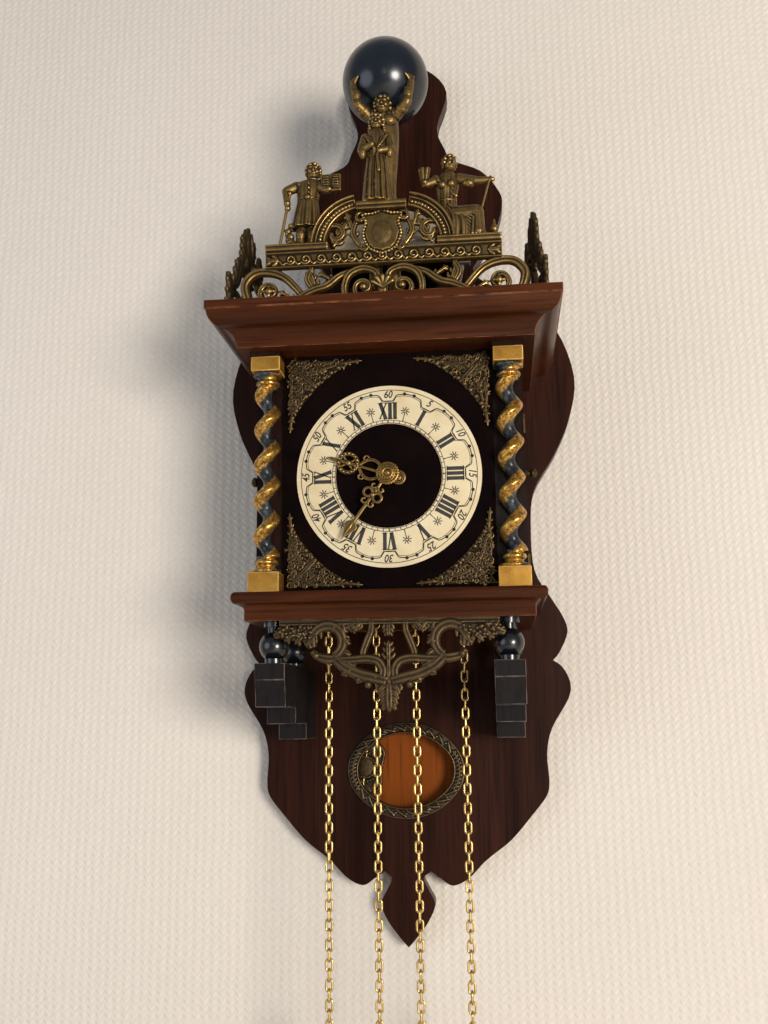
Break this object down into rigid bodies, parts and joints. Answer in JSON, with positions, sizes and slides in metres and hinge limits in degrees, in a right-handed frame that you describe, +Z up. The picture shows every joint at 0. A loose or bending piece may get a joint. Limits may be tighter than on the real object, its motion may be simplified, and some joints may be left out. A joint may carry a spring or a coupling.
{
  "type": "wall clock",
  "caption": "Chain-driven wall clock on a shaped backboard, with twist columns, brass crest figures under a globe and a pendulum in an oval window.",
  "frame": {"origin": "centre of the hanging hole in the plate at the back of the board, at the wall face", "axes": "+Z up, +Y into the wall, so the dial faces -Y; +X is to the right of a viewer who faces the dial"},
  "size_m": [0.3174, 0.1895, 0.9619],
  "materials": {
    "mahogany": "polished",
    "case_wood": "satin",
    "panel_wood": "satin",
    "black_wood": "polished",
    "bracket_wood": "satin",
    "velvet": "matte",
    "cream_enamel": "satin",
    "antique_brass": "satin",
    "bright_brass": "polished",
    "gilt": "satin",
    "twist_paint": "satin",
    "globe_gloss": "polished",
    "glass": "clear",
    "steel": "satin",
    "seat_wood": "matte"
  },
  "bodies": {
    "case": {"backboard": "mahogany", "back_panel": "panel_wood", "hanger_plate": "bright_brass", "window_ring": "antique_brass", "brackets": "bracket_wood", "ball_feet": "black_wood", "plinth": "mahogany", "case_frame": "case_wood", "cornice": "mahogany", "left_column": "twist_paint", "right_column": "twist_paint", "column_blocks": "gilt", "dial_plate": "velvet", "chapter_ring": "cream_enamel", "spandrels": "antique_brass", "crest_fret": "antique_brass", "left_figure": "antique_brass", "right_figure": "antique_brass", "centre_figures": "antique_brass", "globe": "globe_gloss", "side_frets": "antique_brass", "apron_fret": "antique_brass", "door_hinges": "bright_brass", "seat_board": "seat_wood", "front_plate": "bright_brass", "back_plate": "bright_brass", "bell": "bright_brass", "bell_stand": "steel", "pendulum_cock": "bright_brass"},
    "left_door": {"left_door": "case_wood", "left_glass": "glass", "left_door_brass": "bright_brass"},
    "right_door": {"right_door": "case_wood", "right_glass": "glass", "right_door_brass": "bright_brass"},
    "minute": {"centre_wheel": "bright_brass", "minute_hand": "antique_brass", "hand_nut": "antique_brass"},
    "hour": {"hour_wheel": "bright_brass", "hour_hand": "antique_brass"},
    "motion": {"minute_wheel": "bright_brass"},
    "going_great": {"going_great_wheel": "bright_brass"},
    "third": {"third_wheel": "bright_brass"},
    "escape": {"escape_wheel": "bright_brass"},
    "going_sprocket": {"going_sprocket": "bright_brass"},
    "anchor": {"pallet_anchor": "steel"},
    "pendulum": {"pendulum_rod": "bright_brass", "pendulum_bob": "antique_brass"},
    "rating_nut": {"rating_nut": "bright_brass"},
    "strike_great": {"strike_great_wheel": "bright_brass"},
    "pins": {"pin_wheel": "bright_brass"},
    "fly": {"fly": "steel"},
    "hammer": {"hammer": "steel"},
    "strike_sprocket": {"strike_sprocket": "bright_brass"},
    "going_weight_line": {"going_weight_chain": "bright_brass", "going_weight": "bright_brass"},
    "going_free_line": {"going_free_chain": "bright_brass"},
    "strike_weight_line": {"strike_weight_chain": "bright_brass", "strike_weight": "bright_brass"},
    "strike_free_line": {"strike_free_chain": "bright_brass"}
  },
  "joints": [
    {"name": "minute_hand_turn", "type": "hinge", "parent": "case", "child": "minute", "pos_m": [0, -0.08, -0.415], "axis": [0, 1, 0], "continuous": true},
    {"name": "hour_hand_turn", "type": "hinge", "parent": "case", "child": "hour", "pos_m": [0, -0.08, -0.415], "axis": [0, 1, 0], "continuous": true},
    {"name": "minute_wheel_turn", "type": "hinge", "parent": "case", "child": "motion", "pos_m": [0, -0.08, -0.435], "axis": [0, 1, 0], "continuous": true},
    {"name": "going_great_turn", "type": "hinge", "parent": "case", "child": "going_great", "pos_m": [-0.0355, -0.08, -0.43321], "axis": [0, 1, 0], "continuous": true},
    {"name": "third_turn", "type": "hinge", "parent": "case", "child": "third", "pos_m": [-0.008, -0.08, -0.39216], "axis": [0, 1, 0], "continuous": true},
    {"name": "escape_turn", "type": "hinge", "parent": "case", "child": "escape", "pos_m": [0, -0.08, -0.37167], "axis": [0, 1, 0], "continuous": true},
    {"name": "pendulum_swing", "type": "hinge", "parent": "case", "child": "pendulum", "pos_m": [0, -0.0085, -0.34567], "axis": [0, 1, 0], "range_deg": [-14, 0]},
    {"name": "anchor_rock", "type": "hinge", "parent": "case", "child": "anchor", "pos_m": [0, -0.08, -0.34567], "axis": [0, 1, 0], "range_deg": [-14, 0]},
    {"name": "rating_nut_turn", "type": "hinge", "parent": "pendulum", "child": "rating_nut", "pos_m": [-0.04172, -0.0085, -0.68545], "axis": [0.1219, 0, 0.9925], "range_deg": [-720, 720]},
    {"name": "strike_great_turn", "type": "hinge", "parent": "case", "child": "strike_great", "pos_m": [0.0355, -0.08, -0.43321], "axis": [0, 1, 0], "continuous": true},
    {"name": "pin_wheel_turn", "type": "hinge", "parent": "case", "child": "pins", "pos_m": [0.048, -0.08, -0.39532], "axis": [0, 1, 0], "continuous": true},
    {"name": "fly_turn", "type": "hinge", "parent": "case", "child": "fly", "pos_m": [0.04, -0.08, -0.37483], "axis": [0, 1, 0], "continuous": true},
    {"name": "hammer_lift", "type": "hinge", "parent": "case", "child": "hammer", "pos_m": [0.056, -0.08, -0.35967], "axis": [0, 1, 0], "range_deg": [0, 8]},
    {"name": "left_door_swing", "type": "hinge", "parent": "case", "child": "left_door", "pos_m": [-0.1106, -0.03, -0.4105], "axis": [0, 0, -1], "range_deg": [0, 95]},
    {"name": "right_door_swing", "type": "hinge", "parent": "case", "child": "right_door", "pos_m": [0.1106, -0.03, -0.4105], "axis": [0, 0, 1], "range_deg": [0, 95]},
    {"name": "going_wind", "type": "slide", "parent": "case", "child": "going_weight_line", "axis": [0, 0, 1], "range_m": [0, 0.05]},
    {"name": "going_free_run", "type": "slide", "parent": "case", "child": "going_free_line", "axis": [0, 0, 1], "range_m": [-0.05, 0]},
    {"name": "going_sprocket_turn", "type": "hinge", "parent": "case", "child": "going_sprocket", "pos_m": [-0.0355, -0.08, -0.43321], "axis": [0, 1, 0], "range_deg": [0, 147]},
    {"name": "strike_wind", "type": "slide", "parent": "case", "child": "strike_weight_line", "axis": [0, 0, 1], "range_m": [0, 0.05]},
    {"name": "strike_free_run", "type": "slide", "parent": "case", "child": "strike_free_line", "axis": [0, 0, 1], "range_m": [-0.05, 0]},
    {"name": "strike_sprocket_turn", "type": "hinge", "parent": "case", "child": "strike_sprocket", "pos_m": [0.0355, -0.08, -0.43321], "axis": [0, 1, 0], "range_deg": [-147, 0]}
  ],
  "couplings": [
    {"joint": "hour_hand_turn", "follows": "minute_hand_turn", "ratio": 0.083333},
    {"joint": "minute_wheel_turn", "follows": "minute_hand_turn", "ratio": -0.33333},
    {"joint": "going_great_turn", "follows": "minute_hand_turn", "ratio": -0.16667},
    {"joint": "third_turn", "follows": "minute_hand_turn", "ratio": -10},
    {"joint": "escape_turn", "follows": "minute_hand_turn", "ratio": 100},
    {"joint": "anchor_rock", "follows": "pendulum_swing", "ratio": 1},
    {"joint": "pin_wheel_turn", "follows": "strike_great_turn", "ratio": -6},
    {"joint": "fly_turn", "follows": "strike_great_turn", "ratio": 54},
    {"joint": "going_free_run", "follows": "going_wind", "ratio": -1},
    {"joint": "going_sprocket_turn", "follows": "going_wind", "rad_per_m": 51.282},
    {"joint": "strike_free_run", "follows": "strike_wind", "ratio": -1},
    {"joint": "strike_sprocket_turn", "follows": "strike_wind", "rad_per_m": -51.282}
  ]
}
